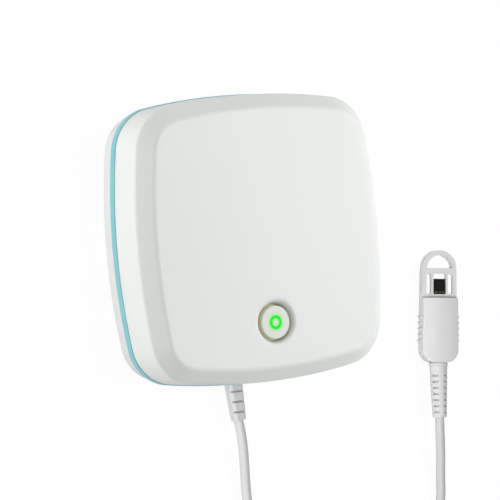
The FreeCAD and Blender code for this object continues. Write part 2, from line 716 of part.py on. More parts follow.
def run_path(name, points):
    """Edges along the points, with each bend's arc as large as its two runs allow."""
    edges, at, radii = [], points[0], []
    for before, here, after in zip(points[:-2], points[1:-1], points[2:]):
        back, on = before - here, after - here
        turn = math.pi - back.getAngle(on)
        cut_off = 0.45 * min(back.Length, on.Length)
        radii.append(cut_off / math.tan(turn / 2))
        back.normalize()
        on.normalize()
        start, end = here + back * cut_off, here + on * cut_off
        inward = back + on
        inward.normalize()
        middle = here + inward * (radii[-1] / math.cos(turn / 2) - radii[-1])
        edges += [Part.makeLine(at, start), arc3(start, middle, end)]
        at = end
    edges.append(Part.makeLine(at, points[-1]))
    print(name, "radii", " ".join("%.1f" % r for r in radii))
    return Part.Wire(edges)


def tube(name, path):
    start = path.Vertexes[0].Point
    first = path.Edges[0]
    along = first.tangentAt(first.FirstParameter)
    profile = Part.Wire([Part.makeCircle(CORD_R, start, along)])
    body = path.makePipeShell([profile], True, False)
    ratio = body.Volume / (math.pi * CORD_R ** 2 * path.Length)
    print(name, "length %.1f, volume over section times length %.4f" % (path.Length, ratio))
    return body


def relief_section(share):
    """The strain relief's section at a share of its length: a rectangle with cut corners, turned with it."""
    w = (RELIEF_ROOT_W + (RELIEF_TIP_W - RELIEF_ROOT_W) * share) / 2
    t = (RELIEF_ROOT_T + (RELIEF_TIP_T - RELIEF_ROOT_T) * share) / 2
    c = RELIEF_CORNER
    points = []
    for sx, sz in ((1, 1), (-1, 1), (-1, -1), (1, -1)):
        pair = [(sx * w, sz * (t - c)), (sx * (w - c), sz * t)]
        points += pair if sx == sz else pair[::-1]
    wire = loop_of([Vector(x, 0, z) for x, z in points])
    wire.rotate(Vector(0, 0, 0), Z, math.degrees(relief_turn()) * share)
    wire.translate(Vector(LEAD_X + RELIEF_LEAN * share, relief_root_y() - RELIEF_L * share, LEAD_Z))
    return wire


def relief_turn():
    """How far the strain relief's tip turns: twice its lean, as a bent bar's does."""
    return 2 * math.atan2(RELIEF_LEAN, RELIEF_L)


def housing_relief():
    """The lead's strain relief: a flat taper that leans the way the lead hangs, with grooves front and back."""
    root_y = relief_root_y()
    body = Part.makeLoft([relief_section(0), relief_section(1)], True, True)
    grooves = []
    for i in range(RELIEF_GROOVES):
        share = (RELIEF_FIRST + RELIEF_PITCH * i) / RELIEF_L
        y = root_y - RELIEF_L * share
        level = (RELIEF_ROOT_T + (RELIEF_TIP_T - RELIEF_ROOT_T) * share) / 2 - GROOVE_D
        x0, x1 = LEAD_X - RELIEF_ROOT_W, LEAD_X + RELIEF_ROOT_W
        y0, y1 = y - GROOVE_W / 2, y + GROOVE_W / 2
        grooves.append(box(x0, y0, LEAD_Z + level, x1, y1, LEAD_Z + RELIEF_ROOT_T))
        grooves.append(box(x0, y0, LEAD_Z - RELIEF_ROOT_T, x1, y1, LEAD_Z - level))
    # neck that fills the shell's notch, and the flange that holds it from inside
    w, t = RELIEF_ROOT_W / 2, RELIEF_ROOT_T / 2
    inner_y = relief_inner_y()
    neck = box(LEAD_X - w, root_y, LEAD_Z - t, LEAD_X + w, inner_y, BAND_Z - NOTCH_CLEAR)
    w += RELIEF_FLANGE
    flange = box(LEAD_X - w, inner_y, FLOOR, LEAD_X + w, inner_y + RELIEF_FLANGE_T, BAND_Z - NOTCH_CLEAR)
    return fuse(cut(body, *grooves), neck, flange)


def relief_inner_y():
    """The foot of the rear shell's wall inside, beside the lead, with a little room."""
    back = SIDE_ARC_R - HALF
    reach = abs(LEAD_X) + RELIEF_ROOT_W / 2 + RELIEF_FLANGE
    return back - math.sqrt((SIDE_ARC_R - REAR_INSET - WALL) ** 2 - reach ** 2) + SEAT_CLEAR


def lead_tail():
    """The lead's jacket inside the housing, from the strain relief to its plug under the board."""
    start = relief_inner_y() + RELIEF_FLANGE_T
    places = [(start, LEAD_Z), (TAIL_FLAT_Y, LEAD_Z), (TAIL_TOP_Y, TAIL_Z), (PLUG_Y0, TAIL_Z)]
    return tube("lead_tail", run_path("lead_tail", [Vector(LEAD_X, y, z) for y, z in places]))


def lead_plug():
    x, low = PLUG_X / 2, BOARD_Z - PLUG_H
    plug = rounded_box(LEAD_X - x, PLUG_Y0, low, LEAD_X + x, PLUG_Y1, BOARD_Z, 0.5)
    ribs = []
    for side in (-1, 0, 1):
        middle = LEAD_X + side * x * 0.6
        ribs.append(box(middle - 0.4, PLUG_Y0 + 1.5, low - 1, middle + 0.4, PLUG_Y1 + 1, low + 0.6))
    return cut(plug, *ribs)


def cord_clamp():
    """The bar that holds the lead down on two posts."""
    z0, y0 = clamp_seat(), clamp_y() - CLAMP_W / 2
    x = CLAMP_POST_X + CLAMP_POST_R
    bar = rounded_box(LEAD_X - x, y0, z0, LEAD_X + x, y0 + CLAMP_W, z0 + CLAMP_T, CLAMP_W / 2.2)
    groove = Part.makeCylinder(CORD_R + SEAT_CLEAR, 2 * CLAMP_W, Vector(LEAD_X, y0 - 1, LEAD_Z), Y)
    holes = [rod(px, py, z0 - 1, z0 + CLAMP_T + 1, BOARD_SCREW_R + HOLE_CLEAR) for px, py in clamp_posts()]
    return cut(bar, groove, *holes)


def clamp_seat():
    return LEAD_Z + CORD_R - 0.3


def clamp_screws():
    made = []
    top = clamp_seat() + CLAMP_T
    for x, y in clamp_posts():
        shank = rod(x, y, FLOOR + 0.3, top + 0.5, BOARD_SCREW_R)
        made.append(fuse(shank, rod(x, y, top, top + BOARD_SCREW_HEAD_H, BOARD_SCREW_HEAD_R)))
    return made


# Probe, modelled along +Y with its front up, then rolled, turned and set on the table


def half_width(u):
    """The head's half width, which narrows evenly towards the loop."""
    return (PROBE_W + (PROBE_LOOP_W - PROBE_W) * u / loop_centre()) / 2


def loop_centre():
    return PROBE_L - PROBE_LOOP_W / 2


def probe_plan(inset, z0, z1):
    """The head's outline from the front: rounded end, straight flanks, round loop end."""
    end_r = PROBE_END_R - inset
    top = loop_centre()
    wide, narrow = PROBE_W / 2 - inset, PROBE_LOOP_W / 2 - inset
    k = math.sqrt(0.5)
    knee = end_r * (1 - k)
    edges = [Part.makeLine(Vector(-(wide - end_r), inset, 0), Vector(wide - end_r, inset, 0))]
    for side in (1, -1):
        a, b = Vector(side * (wide - end_r), inset, 0), Vector(side * wide, inset + end_r, 0)
        edges.append(arc3(a, Vector(side * (wide - knee), inset + knee, 0), b))
        edges.append(Part.makeLine(b, Vector(side * narrow, top, 0)))
    edges.append(arc3(Vector(-narrow, top, 0), Vector(0, top + narrow, 0), Vector(narrow, top, 0)))
    wire = Part.Wire(Part.__sortEdges__(edges))
    face = Part.Face(wire)
    face.translate(Vector(0, 0, z0))
    return face.extrude(Vector(0, 0, z1 - z0))


def crown_prism(inset):
    """A bar along the probe with its front and back crowned."""
    half = PROBE_T / 2 - inset
    reach = 0.8 * PROBE_W
    drop = PROBE_CROWN_R - math.sqrt(PROBE_CROWN_R ** 2 - reach ** 2)
    edges = []
    for side in (1, -1):
        ends = [Vector(x, -PROBE_L, side * (half - drop)) for x in (-reach, reach)]
        edges.append(arc3(ends[0], Vector(0, -PROBE_L, side * half), ends[1]))
    for x in (-reach, reach):
        edges.append(Part.makeLine(Vector(x, -PROBE_L, half - drop), Vector(x, -PROBE_L, drop - half)))
    return prism(Part.Wire(Part.__sortEdges__(edges)), Vector(0, 3 * PROBE_L, 0))


def probe_side_prism():
    """The head's outline from the side: full body, stepped window, thin loop, on a sloping back."""
    t = PROBE_T / 2
    front = WINDOW_FACE
    back = LOOP_T - WINDOW_FACE
    slant = PROBE_NOSE
    over = t + 0.5
    points = [(-1, slant - t), (slant, -over), (COVER_L + 2, -over), (WINDOW_U1 - 4, 0.5 - t),
              (LOOP_U + LOOP_HOLE_H / 2, -back), (PROBE_L + 1, -back), (PROBE_L + 1, front),
              (COVER_L, front), (COVER_L, over), (slant, over), (-1, t - slant)]
    x = -PROBE_W
    return prism(loop_of([Vector(x, u, w) for u, w in points]), Vector(2 * PROBE_W, 0, 0))


def probe_head():
    """The whole head's outside, before it is parted into cover and back."""
    head = probe_plan(0, -PROBE_T, PROBE_T).common(crown_prism(0))
    long = [e for e in head.Edges if e.BoundBox.ZMin > 0.5 or e.BoundBox.ZMax < -0.5]
    head = head.makeFillet(PROBE_EDGE_R, long)
    head = head.common(probe_side_prism())
    teeth = []
    for i in range(TEETH):
        u = TOOTH_FIRST + TOOTH_PITCH * i
        reach = half_width(u)
        half = 0.36 * TOOTH_PITCH
        for side in (1, -1):
            root, flank = side * (reach - 0.4), side * (reach - 0.02)
            points = [(root, u - half), (flank, u - half), (side * (reach + TOOTH_H), u),
                      (flank, u + half), (root, u + half)]
            wire = loop_of([Vector(v, y, -PROBE_T / 3.4) for v, y in points])
            teeth.append(prism(wire, Vector(0, 0, PROBE_T / 1.7)))
    return fuse(head, *teeth)


def probe_hollow():
    """Room inside the body for the board and the lead's end."""
    inside = probe_plan(PROBE_WALL, -PROBE_T, PROBE_T).common(crown_prism(PROBE_WALL))
    return inside.common(box(-PROBE_W, PROBE_WALL, -PROBE_T, PROBE_W, COVER_L - PROBE_WALL, PROBE_T))


def probe_shells():
    head = probe_head().cut(probe_hollow())
    head = head.cut(Part.makeCylinder(CORD_R + SEAT_CLEAR, 2 * PROBE_WALL + 1, Vector(0, -1, 0), Y))
    above = box(-PROBE_W, -PROBE_W, SEAM_W, PROBE_W, COVER_L, PROBE_T)
    cover, back = head.common(above), head.cut(above)
    r = SLOT_W / 2
    slots = [slot_prism(side * SLOT_AT, WINDOW_U0 + r, WINDOW_U1 - r, r, -PROBE_T, PROBE_T) for side in (-1, 1)]
    window = rounded_box(-WINDOW_W / 2, WINDOW_U0, -PROBE_T, WINDOW_W / 2, WINDOW_U1, PROBE_T, 0.5)
    plate_back = WINDOW_FACE - PLATE_T
    pocket = rounded_box(-POCKET_W / 2, COVER_L + 0.6, -PROBE_T, POCKET_W / 2, WINDOW_U1 + 0.9, plate_back, 1.0)
    half, t = SENSOR_BOARD_W / 2 + SEAT_CLEAR, SENSOR_BOARD_T / 2 + SEAT_CLEAR
    board_slot = box(-half, COVER_L - 2 * PROBE_WALL, -t, half, WINDOW_U0 + 1, SEAM_W + 0.01)
    half, rise = LOOP_HOLE_W / 2, 0.25
    left = [Vector(-half, u, -PROBE_T) for u in (LOOP_U, LOOP_U + rise)]
    right = [Vector(half, u, -PROBE_T) for u in (LOOP_U, LOOP_U + rise)]
    crown = arc3(right[1], Vector(0, LOOP_U + LOOP_HOLE_H, -PROBE_T), left[1])
    edges = [Part.makeLine(left[0], right[0]), Part.makeLine(right[0], right[1]), crown,
             Part.makeLine(left[1], left[0])]
    hole = prism(Part.Wire(edges), Vector(0, 0, 2 * PROBE_T))
    back = cut(back, window, pocket, board_slot, hole, *slots)
    return cover, back


def probe_collar():
    ring = Part.makeCylinder(COLLAR_R, COLLAR_L, Vector(0, -COLLAR_L, 0), Y)
    ring = ring.makeChamfer(COLLAR_L / 5, [e for e in ring.Edges if isinstance(e.Curve, Part.Circle)])
    return ring.cut(Part.makeCylinder(CORD_R + SEAT_CLEAR, COLLAR_L + 2, Vector(0, -COLLAR_L - 1, 0), Y))


def probe_relief():
    """The probe's strain relief: a round taper with four columns of slots, bent a little by its lead."""
    along = prelief_axis()
    root = Vector(0, -COLLAR_L, 0)
    slope = (PRELIEF_R0 - PRELIEF_R1) / PRELIEF_L
    over = COLLAR_L
    body = Part.makeCone(PRELIEF_R0 + slope * over, PRELIEF_R1, PRELIEF_L + over, root - along * over, along)
    body = body.cut(box(-PROBE_W, -COLLAR_L, -PROBE_W, PROBE_W, PROBE_W, PROBE_W))
    slots = []
    for row in range(PRELIEF_ROWS):
        reach = PRELIEF_FIRST + PRELIEF_PITCH * row
        radius = PRELIEF_R0 - slope * reach
        centre = root + along * (reach - PRELIEF_SLOT_L / 2)
        for column in range(4):
            outer = Part.makeCylinder(1.5 * radius, PRELIEF_SLOT_L, centre, along, 2 * PRELIEF_SLOT_HALF)
            inner = Part.makeCylinder(radius - PRELIEF_SLOT_DEPTH, PRELIEF_SLOT_L, centre, along)
            slot = outer.cut(inner)
            slot.rotate(centre, along, slot_angle(column))
            slots.append(slot)
    neck = Part.makeCylinder(CORD_R, COLLAR_L + SPIGOT_L, root, Y)
    flange = Part.makeCylinder(SPIGOT_R, SPIGOT_L - PROBE_WALL - SEAT_CLEAR, Y * (PROBE_WALL + SEAT_CLEAR), Y)
    return fuse(cut(body, *slots), neck, flange)


def prelief_axis():
    axis = Vector(PRELIEF_LEAN, -PRELIEF_L, 0)
    axis.normalize()
    return axis


def slot_angle(column):
    return 90 * column + PRELIEF_TWIST - PRELIEF_SLOT_HALF


def sensor_board():
    half = SENSOR_BOARD_W / 2
    t = SENSOR_BOARD_T / 2
    return box(-half, SENSOR_BOARD_U0, -t, half, SENSOR_BOARD_U1, t)


def humidity_sensor():
    z, half = SENSOR_BOARD_T / 2, SENSOR_W / 2
    body = box(-half, SENSOR_U - half, z, half, SENSOR_U + half, z + SENSOR_H)
    return body.cut(Part.makeCylinder(SENSOR_W / 4, SENSOR_H, Vector(0, SENSOR_U, z + SENSOR_H / 2), Z))


def probe_parts():
    """The sensor board's small parts: a capacitor and two resistors below the sensor."""
    z = SENSOR_BOARD_T / 2
    u0 = WINDOW_U0 + PARTS_IN
    made = []
    for share, w, h in ((-0.57, 1.0, 0.5), (0.1, 0.8, 0.45), (0.65, 0.6, 0.35)):
        v = share * SENSOR_BOARD_W / 2
        made.append(box(v - w / 2, u0, z, v + w / 2, u0 + PARTS_L, z + h))
    return made


def probe_wires():
    """Four wires from the lead's end to the board."""
    length = SENSOR_BOARD_U0 - SPIGOT_L
    across = [(i - 1.5) * 2.6 * WIRE_R for i in range(4)]
    return [Part.makeCylinder(WIRE_R, length, Vector(v, SPIGOT_L, 0), Y) for v in across]


def probe_place():
    """The placement that lays the probe on the table on the edge of its rounded back."""
    turn = Rotation(Z, PROBE_TURN).multiply(Rotation(Y, PROBE_ROLL))
    laid = probe_shells()[1]
    laid.Placement = Placement(PROBE_AT, turn)
    low = laid.optimalBoundingBox(False).ZMin
    return Placement(PROBE_AT - Z * low, turn)


def placed(shape, placement):
    moved = shape.copy()
    moved.Placement = placement.multiply(moved.Placement)
    return moved


# Coil and its tie


def biarc(p0, t0, p1, t1):
    """Two arcs that join two points and are tangent to a direction at each."""
    span, total = p1 - p0, t0 + t1
    a = 2 * (1 - t0.dot(t1))
    b = span.dot(total)
    d = span.dot(span) / (2 * b) if a < 1e-9 else (math.sqrt(b * b + a * span.dot(span)) - b) / a
    q0, q1 = p0 + t0 * d, p1 - t1 * d
    joint = (q0 + q1) * 0.5
    return [arc_by_apex(p0, q0, joint), arc_by_apex(joint, q1, p1)]


def arc_by_apex(a, apex, b):
    """The arc from a to b whose end tangents meet at the apex."""
    chord = (b - a).Length
    reach = (apex - a).Length
    half = math.acos(min(1.0, chord / 2 / reach))
    foot = (a + b) * 0.5
    towards = apex - foot
    towards.normalize()
    return arc3(a, foot + towards * (chord / 2 * math.tan(half / 2)), b)


def coil_point(turns):
    """A place on the coil's line after some turns: in along the lower layer, up, and out along the upper."""
    inner = COIL_R - COIL_TURNS * COIL_PITCH
    low = COIL_LIFT + CORD_R
    if turns <= COIL_TURNS:
        radius, level = COIL_R - COIL_PITCH * turns, low
    elif turns <= COIL_TURNS + 0.5:
        ease = (1 - math.cos(2 * math.pi * (turns - COIL_TURNS))) / 2
        radius = inner - COIL_PITCH / (2 * math.pi) * math.sin(2 * math.pi * (turns - COIL_TURNS))
        level = low + COIL_PITCH * ease
    else:
        radius, level = inner + COIL_PITCH * (turns - COIL_TURNS - 0.5), low + COIL_PITCH
    angle = math.pi + 2 * math.pi * turns
    return COIL_AT + Vector(radius * math.cos(angle), radius * math.sin(angle), level)


def coil_path():
    whole = 2 * COIL_TURNS + 0.5
    steps = int(round(whole * 4))
    places = [coil_point(whole * i / steps) for i in range(steps + 1)]
    fine = 1e-4
    ways = []
    for i in range(steps + 1):
        at = min(max(whole * i / steps, fine), whole - fine)
        way = coil_point(at + fine) - coil_point(at - fine)
        way.normalize()
        ways.append(way)
    ways[0], ways[-1] = -Y, Y * 1.0
    edges = [Part.makeLine(places[0] + Y * CORD_D, places[0])]
    for i in range(steps):
        edges += biarc(places[i], ways[i], places[i + 1], ways[i + 1])
    edges.append(Part.makeLine(places[-1], places[-1] + Y * CORD_D))
    return Part.Wire(edges)


def coil_ends():
    """Where the two free runs meet the coil."""
    whole = 2 * COIL_TURNS + 0.5
    return coil_point(0) + Y * CORD_D, coil_point(whole) + Y * CORD_D


def report_coil_gap():
    """Print the coil's least gap to itself, measured between points at least a half turn apart."""
    whole = 2 * COIL_TURNS + 0.5
    count = int(whole * 72)
    points = [coil_point(whole * i / count) for i in range(count + 1)]
    least = min((points[i] - points[j]).Length for i in range(count + 1) for j in range(i + 30, count + 1))
    print("cord_coil least gap to itself %.2f mm" % (least - CORD_D))
    print("cord_coil outside %.1f mm across" % (2 * (COIL_R + CORD_R)))


def cord_tie():
    """A strap round the coil's bundle, on the side away from the housing, where the climb is half done."""
    least = COIL_R - COIL_TURNS * COIL_PITCH - COIL_PITCH / (2 * math.pi) - CORD_R
    inner = math.sqrt(least ** 2 - TIE_W ** 2 / 4) - TIE_CLEAR - TIE_T
    outer = COIL_R - COIL_PITCH / 5 + CORD_R + TIE_CLEAR + TIE_T
    top = COIL_LIFT + 2 * CORD_R + COIL_PITCH + TIE_CLEAR + TIE_T
    y0, y1 = COIL_AT.y - outer, COIL_AT.y - inner
    strap = box(COIL_AT.x - TIE_W / 2, y0, 0, COIL_AT.x + TIE_W / 2, y1, top)
    hole = box(COIL_AT.x - TIE_W, y0 + TIE_T, TIE_T, COIL_AT.x + TIE_W, y1 - TIE_T, top - TIE_T)
    rounded = []
    for body, radius in ((strap, CORD_R), (hole, CORD_R - TIE_T)):
        along = [e for e in body.Edges if abs(e.tangentAt(e.FirstParameter).x) > 0.9]
        rounded.append(body.makeFillet(radius, along))
    return rounded[0].cut(rounded[1])


# Free runs of the lead, which lie on the table and meet the coil


def bend_over(a, b):
    """Points of a double bend that leaves one place and reaches another heading the same way, along Y."""
    made = [a]
    for forward, aside in ((0.228, 0.112), (0.42, 0.35), (0.58, 0.65), (0.772, 0.888), (1, 1)):
        made.append(Vector(a.x + (b.x - a.x) * aside, a.y + (b.y - a.y) * forward, a.z + (b.z - a.z) * aside))
    return made


def housing_run():
    tip = Vector(LEAD_X + RELIEF_LEAN, relief_root_y() - RELIEF_L, LEAD_Z)
    turn = relief_turn()
    first = tip + Vector(math.sin(turn), -math.cos(turn), 0) * END_RUN
    end = coil_ends()[0]
    bend = bend_over(Vector(-0.9, -92.5, CORD_R), end + Y * END_RUN)
    points = [tip, first, Vector(-1.85, -77.6, 3.7), Vector(-1.2, -85.2, 2.3)] + bend + [end]
    return tube("cord_housing_run", run_path("cord_housing_run", points))


def probe_run(placement):
    tip = prelief_axis() * PRELIEF_L - Y * COLLAR_L
    first = placement.multVec(tip + prelief_axis() * END_RUN)
    end = coil_ends()[1]
    bend = bend_over(Vector(83.6, -101.5, CORD_R), end + Y * END_RUN)
    points = [placement.multVec(tip), first, Vector(83.45, -86.6, 3.7), Vector(83.55, -94.2, 2.3)] + bend + [end]
    return tube("cord_probe_run", run_path("cord_probe_run", points))


def build():
    save("rear_shell", rear_shell())
    save("battery_door", battery_door())
    save("battery_cells", *battery_cells())
    save("battery_contacts", *battery_contacts())
    save("accent_band", accent_band())
    save("seal_gasket", seal_gasket())
    save("front_shell", front_shell())
    save("case_screws", *case_screws())
    save("button_cap", button_cap())
    save("light_guide", light_guide())
    save("switch_plunger", switch_plunger())
    save("tact_switch", tact_switch())
    save("status_lamps", *status_lamps())
    save("main_board", main_board())
    save("board_screws", *board_screws())
    save("radio_module", radio_module())
    save("radio_can", radio_can())
    save("board_chips", *board_chips())
    save("housing_relief", housing_relief())
    save("lead_tail", lead_tail())
    save("lead_plug", lead_plug())
    save("cord_clamp", cord_clamp())
    save("clamp_screws", *clamp_screws())
    place = probe_place()
    cover, back = probe_shells()
    save("probe_front_cover", placed(cover, place))
    save("probe_back_shell", placed(back, place))
    save("probe_collar", placed(probe_collar(), place))
    save("probe_relief", placed(probe_relief(), place))
    save("sensor_board", placed(sensor_board(), place))
    save("humidity_sensor", placed(humidity_sensor(), place))
    save("sensor_parts", *[placed(p, place) for p in probe_parts()])
    save("probe_wires", *[placed(w, place) for w in probe_wires()])
    save("cord_housing_run", housing_run())
    save("cord_coil", tube("cord_coil", coil_path()))
    save("cord_probe_run", probe_run(place))
    save("cord_tie", cord_tie())
    report_coil_gap()


build()
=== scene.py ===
import bpy
import numpy as np
from mathutils import Matrix, Vector


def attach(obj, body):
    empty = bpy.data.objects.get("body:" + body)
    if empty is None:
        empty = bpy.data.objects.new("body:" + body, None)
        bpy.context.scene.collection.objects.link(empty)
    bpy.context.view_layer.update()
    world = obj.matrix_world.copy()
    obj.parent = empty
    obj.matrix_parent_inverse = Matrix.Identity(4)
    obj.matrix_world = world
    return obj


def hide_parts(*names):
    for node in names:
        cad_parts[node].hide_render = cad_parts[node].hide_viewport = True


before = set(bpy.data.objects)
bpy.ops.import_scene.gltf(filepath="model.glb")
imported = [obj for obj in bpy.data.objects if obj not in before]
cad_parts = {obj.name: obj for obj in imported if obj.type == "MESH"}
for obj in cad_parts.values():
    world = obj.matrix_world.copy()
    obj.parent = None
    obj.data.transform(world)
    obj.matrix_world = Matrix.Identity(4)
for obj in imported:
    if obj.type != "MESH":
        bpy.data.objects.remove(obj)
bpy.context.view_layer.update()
MM = 0.001

# Sizes that the source gives, in millimetres
CORD_R = 1.7
COIL_AT = (41.0, -141.0)
COIL_R = 24.8
COIL_PITCH = 3.9
COIL_TURNS = 3
COIL_LOW = 2.45
BUTTON_Y = -29.47
CAP_TOP = 28.62
RING_R = 1.93

# Sizes that are the scene's own, in millimetres
HOLLOW_IN = 10.5     # radius within which the hollow round the button has its wide soft edge
HOLLOW_OUT = 12.0    # radius from which the front cover has its usual soft edge
HOLLOW_EDGE = 2.8
COVER_EDGE = 0.4
# reach within which nearby walls bring painted shade into grooves and corners
CREVICE_SHADE_REACH = 1.2
HOLLOW_SHADE_FULL = 6.0      # radius round the button's axis within which the hollow's painted shade is at its darkest
HOLLOW_SHADE_NONE = 7.6      # radius from which the hollow has no painted shade
TABLE_DROP = 0.3     # the table's distance below the object, so that no two faces lie in one plane

COIL_POINTS = 24     # points of the lead's line per turn of the coil
COIL_CUT = 0.9915    # what the spline leaves of a radius between points 15 degrees apart


def linear(code):
    """The linear RGBA of an sRGB hex colour."""
    parts = [int(code[i:i + 2], 16) / 255 for i in (1, 3, 5)]
    return [c / 12.92 if c <= 0.04045 else ((c + 0.055) / 1.055) ** 2.4 for c in parts] + [1.0]


def node(tree, kind, settings=None, links=None):
    """Adds one shader node. Small-letter settings are its properties, all others its sockets by name or number."""
    made = tree.nodes.new("ShaderNode" + kind)
    for key, value in (settings or {}).items():
        if isinstance(key, str) and key[0].islower():
            setattr(made, key, value)
        else:
            made.inputs[key].default_value = value
    for key, socket in (links or {}).items():
        tree.links.new(socket, made.inputs[key])
    return made


def camera():
    """The photograph's camera: a long lens about 1.1 m away, to the left of the housing and in front of it.

    Lens, axes and place were fitted to the photograph's outlines.
    """
    data = bpy.data.cameras.new("camera")
    data.lens, data.sensor_width = 227.91, 36.0
    data.clip_start, data.clip_end = 0.05, 20.0
    made = bpy.data.objects.new("camera", data)
    right = (0.8377444, -0.0834786, 0.5396440)
    up = (0.0835293, 0.9962057, 0.0244340)
    back = (-0.5396362, 0.0246067, 0.8415385)
    turn = Matrix((right, up, back)).transposed().to_4x4()
    made.matrix_world = Matrix.Translation((-0.597019, 0.023193, 0.947049)) @ turn
    bpy.context.collection.objects.link(made)
    bpy.context.scene.camera = made


camera()


def bend_over(a, b):
    """The double bend's points between two places with the same heading, along Y, as in the source."""
    a, b = np.array(a), np.array(b)
    forward = np.array([0, 0.228, 0.42, 0.58, 0.772, 1])[:, None]
    aside = np.array([0, 0.112, 0.35, 0.65, 0.888, 1])[:, None]
    return a + (b - a) * np.hstack([aside, forward, aside])


def coil_turns():
    """The coil's line: a flat spiral in, a half turn that climbs, and a flat spiral out on top of the first.

    Radius = outer radius - pitch * turns, then the climb's dip, then inner radius + pitch * turns. It is
    divided by what the spline leaves of it.
    """
    turns = (np.arange(COIL_POINTS * (2 * COIL_TURNS + 0.5)) + 0.5) / COIL_POINTS
    inner = COIL_R - COIL_TURNS * COIL_PITCH
    climb = np.clip(turns - COIL_TURNS, 0, 0.5)
    out = inner + COIL_PITCH * (turns - COIL_TURNS - climb)
    radius = np.where(turns < COIL_TURNS, COIL_R - COIL_PITCH * turns, out)
    radius = (radius - COIL_PITCH / (2 * np.pi) * np.sin(2 * np.pi * climb)) / COIL_CUT
    angle = np.pi + 2 * np.pi * turns
    level = COIL_LOW + COIL_PITCH * (1 - np.cos(2 * np.pi * climb)) / 2
    return np.column_stack([COIL_AT[0] + radius * np.cos(angle), COIL_AT[1] + radius * np.sin(angle), level])


def lead():
    """The whole free lead: housing relief, table, coil, table, probe relief. One spline on the source's route."""
    route = np.vstack([
        [(-3.6, -63.56, 4.9), (-2.67, -70.0, 4.9), (-1.85, -77.6, 3.7), (-1.2, -85.2, 2.3)],
        bend_over((-0.9, -92.5, 1.7), (16.2, -131.1, 2.45)), [(16.2, -137.6, 2.45)],
        coil_turns(),
        [(65.8, -137.6, 6.35)], bend_over((83.6, -101.5, 1.7), (65.8, -131.1, 6.35))[::-1],
        [(83.55, -94.2, 2.3), (83.45, -86.6, 3.7), (83.1, -78.87, 4.79), (83.59, -72.39, 4.73)]])
    data = bpy.data.curves.new("lead_cord", "CURVE")
    data.dimensions, data.bevel_depth, data.bevel_resolution = "3D", 1.0, 5
    data.resolution_u, data.use_fill_caps = 4, True
    spline = data.splines.new("NURBS")
    spline.points.add(len(route) - 1)
    spline.points.foreach_set("co", np.column_stack([route * MM, np.ones(len(route))]).ravel())
    spline.points.foreach_set("radius", np.full(len(route), CORD_R * MM))
    spline.order_u = 3
    spline.use_endpoint_u = True
    made = bpy.data.objects.new("lead_cord", data)
    bpy.context.collection.objects.link(made)
    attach(made, "housing")
    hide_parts("cord_housing_run", "cord_coil", "cord_probe_run")
    return made


cord = lead()


# Finishes


def finish(name, base, second, patch, grain, depth, **shader):
    """A material of two close colours in soft patches, with a fine grain in relief.

    Patch and grain are sizes in millimetres, depth is the grain's in micrometres, and the rest are the
    shader's own settings. Returns the material, its tree, its shader, its colour and its place sockets.
    """
    made = bpy.data.materials.new(name)
    made.use_nodes = True
    tree = made.node_tree
    tree.nodes.clear()
    place = node(tree, "TexCoord").outputs["Object"]
    cloud = node(tree, "TexNoise", {"Scale": 1 / (patch * MM), "Detail": 2.0}, {"Vector": place})
    blend = node(tree, "Mix", {"data_type": "RGBA", 6: linear(base), 7: linear(second)}, {"Factor": cloud.outputs[0]})
    sand = node(tree, "TexNoise", {"Scale": 1 / (grain * MM), "Detail": 3.0, "Roughness": 0.6}, {"Vector": place})
    relief = node(tree, "Bump", {"Strength": 1.0, "Distance": depth * 1e-6}, {"Height": sand.outputs[0]})
    settings = {key.replace("_", " "): value for key, value in shader.items()}
    body = node(tree, "BsdfPrincipled", settings, {"Base Color": blend.outputs[2], "Normal": relief.outputs[0]})
    node(tree, "OutputMaterial", None, {"Surface": body.outputs[0]})
    return made, tree, body, blend.outputs[2], place


def off_axis(tree, place):
    """How far a place lies from the button's axis, in metres."""
    flat = node(tree, "VectorMath", {"operation": "MULTIPLY", 1: (1, 1, 0)}, {0: place})
    return node(tree, "VectorMath", {"operation": "DISTANCE", 1: (0, BUTTON_Y * MM, 0)},
                {0: flat.outputs[0]}).outputs["Value"]


def off_ring(tree, place):
    """How far a place lies from the lit ring's middle line, in metres."""
    off = node(tree, "Math", {"operation": "SUBTRACT", 1: RING_R * MM}, {0: off_axis(tree, place)})
    return node(tree, "Math", {"operation": "ABSOLUTE"}, {0: off.outputs[0]}).outputs[0]


def height(tree, place):
    """How high a place lies, in metres."""
    return node(tree, "SeparateXYZ", None, {0: place}).outputs["Z"]


def fade(tree, value, full, none):
    """1 where a value is at the first bound, falling smoothly to 0 at the second. Bounds in millimetres."""
    return node(tree, "MapRange", {"interpolation_type": "SMOOTHSTEP", 1: none * MM, 2: full * MM},
                {0: value}).outputs[0]


def paint(tree, shader, under, over, code):
    """Lays a colour over another where a mask is 1, and gives the result to the shader."""
    mix = node(tree, "Mix", {"data_type": "RGBA", 7: linear(code)}, {"Factor": over, 6: under})
    tree.links.new(mix.outputs[2], shader.inputs["Base Color"])
    return mix.outputs[2]


def painted_crevice_shade(tree, shader, colour, code):
    """Painted shade that darkens a surface where walls close it in within a short reach, as in a narrow groove.

    There is none where 85 % of the sky is open, and it is at its darkest below 40 %.
    """
    open_sky = node(tree, "AmbientOcclusion", {"samples": 8, "Distance": CREVICE_SHADE_REACH * MM}).outputs["AO"]
    paint(tree, shader, colour, node(tree, "MapRange", {1: 0.85, 2: 0.4}, {0: open_sky}).outputs[0], code)
